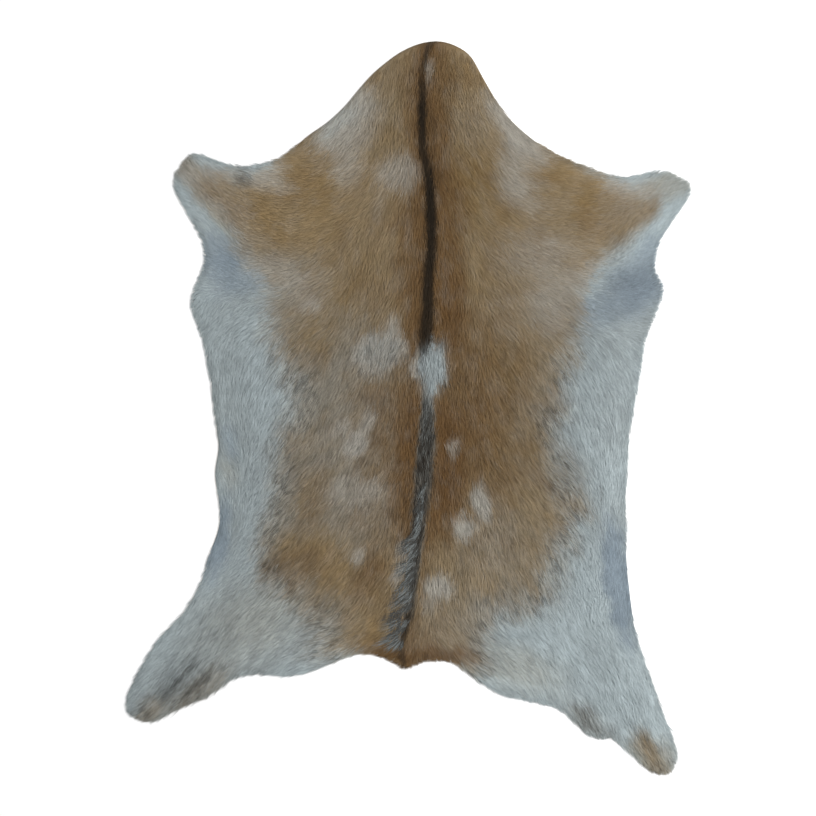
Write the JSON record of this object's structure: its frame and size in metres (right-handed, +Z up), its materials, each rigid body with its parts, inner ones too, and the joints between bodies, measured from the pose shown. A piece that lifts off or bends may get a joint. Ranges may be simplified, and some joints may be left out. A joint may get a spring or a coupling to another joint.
{
  "type": "goatskin rug",
  "caption": "Whole hair-on goatskin laid flat as a rug, with neck, leg and tail lobes, lying pile and a crest of longer hair on the spine.",
  "frame": {"origin": "on the floor, under the middle of the skin's outline", "axes": "+Z up from the floor to the hair side, +Y along the spine to the neck, +X to the right side seen from above"},
  "size_m": [0.694, 0.9, 0.0138],
  "materials": {
    "goat_hair": "matt lying hair, tan on the back and grey white on the flanks and legs",
    "skin_side": "matt buffed suede on the flesh side"
  },
  "bodies": {
    "root": {"hide": "goat_hair"}
  },
  "joints": []
}
